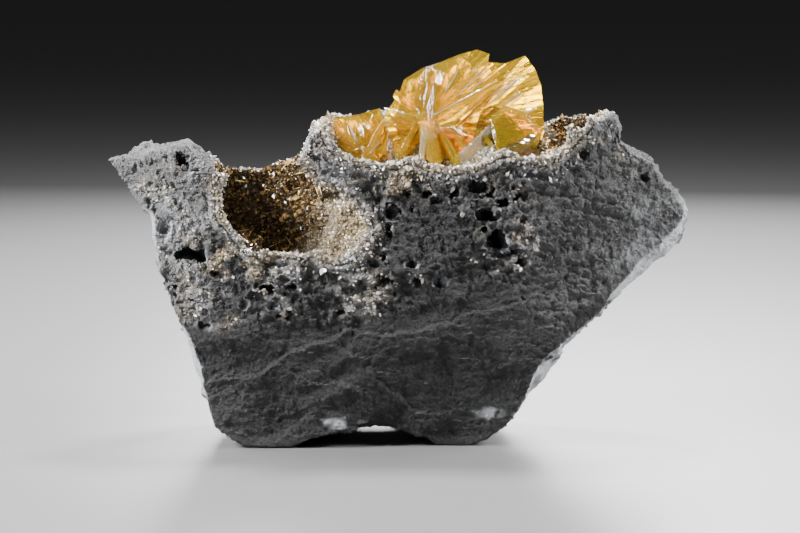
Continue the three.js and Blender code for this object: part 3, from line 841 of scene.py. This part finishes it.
def marl_material():
    m = Nodes("marl")
    fine = m.noise(1300, 5, 0.6)
    dark = m.ramp(fine, (0.3, (0.026, 0.0265, 0.028)), (0.75, (0.052, 0.053, 0.055)))
    light = m.ramp(fine, (0.3, (0.2, 0.2, 0.202)), (0.75, (0.32, 0.318, 0.314)))
    pale = m.ramp(fine, (0.3, (0.26, 0.262, 0.27)), (0.7, (0.62, 0.62, 0.63)))
    cream = m.ramp(fine, (0.3, (0.2, 0.16, 0.115)), (0.7, (0.56, 0.47, 0.37)))
    # Painted light: the bluish white where the side lights fall on the steep sides and the chips.
    sugar_and_side_light = m.ramp(m.noise(320, 4), (0.3, (0.55, 0.58, 0.63)), (0.7, (0.82, 0.84, 0.87)))
    patchy = m.ramp(m.noise(130, 4), (0.42, (0, 0, 0)), (0.6, (1, 1, 1)))
    # Painted light and shade besides the rock's own tones: the light mask makes the lit ends
    # lighter and the lower face darker.
    colour = m.mix(m.read("light"), dark, light)
    colour = m.mix(m.read("sugar"), colour, m.mix(patchy, pale, cream))
    colour = m.mix(m.read("lit_facets"), colour, sugar_and_side_light)
    # Painted shade: the cavities and the pocket are coloured near black.
    shade = m.ramp(fine, (0.3, (0.004, 0.004, 0.004)), (0.8, (0.045, 0.044, 0.046)))
    colour = m.mix(m.read("hole"), colour, shade)
    fine_grain = m.bump(m.noise(2400, 4, 0.6), FINE_GRAIN_HEIGHT)
    grain = m.bump(m.noise(950, 5, 0.6), GRAIN_HEIGHT, normal=fine_grain)
    m.set(Base_Color=colour, Roughness=0.85, Normal=grain)
    m.shader.inputs["Specular IOR Level"].default_value = 0.35
    return m.material


def druse_material():
    m = Nodes("druse")
    grain = m.read("grain")
    cream = m.ramp(grain, (0.0, (0.24, 0.19, 0.12)), (0.6, (0.55, 0.46, 0.31)),
                   (1.0, (0.95, 0.88, 0.72)))
    grey = m.ramp(grain, (0.0, (0.14, 0.14, 0.15)), (0.6, (0.45, 0.455, 0.47)),
                  (1.0, (0.9, 0.9, 0.92)))
    brown = m.ramp(grain, (0.0, (0.045, 0.03, 0.017)), (0.55, (0.14, 0.092, 0.046)),
                   (0.8, (0.4, 0.25, 0.09)), (1.0, (0.95, 0.68, 0.26)))
    colour = m.mix(m.read("tone"), m.mix(m.read("grey"), cream, grey), brown)
    m.set(Base_Color=colour, Roughness=0.12, IOR=DRUSE_IOR)
    return m.material


def glassy(name, colour, roughness, transmission, lines):
    """Gypsum with fine lines that radiate from the crystals' focus, as steep near it as far out."""
    m = Nodes(name)
    far = m.read("far")
    polar = m.add("ShaderNodeCombineXYZ", {"X": m.read("ray"), "Y": far})
    stretched = m.add("ShaderNodeMapping",
                      {"Vector": polar.outputs["Vector"], "Scale": (LINES_AROUND, LINES_ALONG, 1)})
    pattern = m.noise(1, 3, 0.5, stretched.outputs["Vector"])
    height = m.add("ShaderNodeMath", {0: pattern, 1: far}, operation="MULTIPLY")
    striae = m.bump(height.outputs["Value"], LINES_HEIGHT, lines)
    m.set(Base_Color=colour, Roughness=roughness, IOR=GYPSUM_IOR, Normal=striae)
    m.shader.inputs["Transmission Weight"].default_value = transmission
    return m


def honey_material():
    m = glassy("honey_gypsum", (1, 0.74, 0.05, 1), 0.015, 0.86, 0.6)
    absorption = m.add("ShaderNodeVolumeAbsorption", {"Color": HONEY, "Density": HONEY_DENSITY})
    output = m.tree.nodes["Material Output"]
    m.tree.links.new(absorption.outputs["Volume"], output.inputs["Volume"])
    return m.material


def pearl_material():
    return glassy("pearly_gypsum", (1, 0.92, 0.66, 1), 0.08, 0.84, 0.8).material


def amber_material():
    return glassy("amber_gypsum", (0.36, 0.265, 0.06, 1), 0.05, 0.85, 0.4).material


# The stage

PHOTO_TARGET = Vector((0.0, -0.0125, 0.0448))
PHOTO_ELEVATION = math.radians(7)
PHOTO_DISTANCE = 0.75
# The lens and the sensor in millimetres, and how far the camera sees.
LENS = 135
SENSOR_WIDTH = 36
SIGHT = 50
FLOOR_HALF = 8.0
FLOOR_COLOUR = (0.18, 0.18, 0.18, 1)
WORLD_COLOUR = (0.03, 0.03, 0.03, 1)
# What the lights point at, apart from the one above.
MIDDLE = (0, 0, 0.05)


def camera():
    data = bpy.data.cameras.new("camera")
    data.lens = LENS
    data.sensor_width = SENSOR_WIDTH
    data.clip_end = SIGHT
    made = bpy.data.objects.new("camera", data)
    bpy.context.scene.collection.objects.link(made)
    back = Vector((0, -math.cos(PHOTO_ELEVATION), math.sin(PHOTO_ELEVATION)))
    made.location = PHOTO_TARGET + back * PHOTO_DISTANCE
    made.rotation_euler = (-back).to_track_quat("-Z", "Y").to_euler()
    bpy.context.scene.camera = made


def area_light(name, at, towards, watts, size):
    data = bpy.data.lights.new(name, "AREA")
    data.energy = watts
    data.size = size
    made = bpy.data.objects.new(name, data)
    made.location = at
    made.rotation_euler = (Vector(towards) - Vector(at)).to_track_quat("-Z", "Y").to_euler()
    bpy.context.scene.collection.objects.link(made)


def lights():
    area_light("left_key", (-0.36, -0.15, 0.3), MIDDLE, 6.5, 0.12)
    area_light("right_key", (0.42, -0.11, 0.3), MIDDLE, 4.5, 0.12)
    area_light("left_rear", (-0.42, 0.22, 0.2), MIDDLE, 4, 0.3)
    area_light("right_rear", (0.45, 0.2, 0.2), MIDDLE, 4, 0.3)
    area_light("behind", (0.05, 0.5, 0.3), MIDDLE, 6.5, 0.3)
    area_light("above", (0.04, 0.14, 0.5), (0.02, 0, 0.08), 6, 0.1)
    area_light("front_fill", (-0.4, -0.8, 0.2), MIDDLE, 0.5, 0.6)
    world = bpy.data.worlds.new("studio")
    world.use_nodes = True
    world.node_tree.nodes["Background"].inputs["Color"].default_value = WORLD_COLOUR
    bpy.context.scene.world = world


def floor():
    s = FLOOR_HALF
    corners = np.array([[-s, -s, 0], [s, -s, 0], [s, s, 0], [-s, s, 0]])
    made = new_object("floor", corners, np.array([[0, 1, 2, 3]]))
    m = Nodes("floor")
    m.set(Base_Color=FLOOR_COLOUR, Roughness=0.4)
    made.data.materials.append(m.material)


camera()
lights()
floor()
druse = druse_material()
rock_grains(rock(), druse)
crust("left_hollow_druse", "left_hollow_crust", left_tone, druse, with_needles=True)
crust("right_hollow_druse", "right_hollow_crust", right_tone, druse)
honey = honey_material()
pearly = pearl_material()
fan(honey, pearly, amber_material())
rosette(honey, pearly)
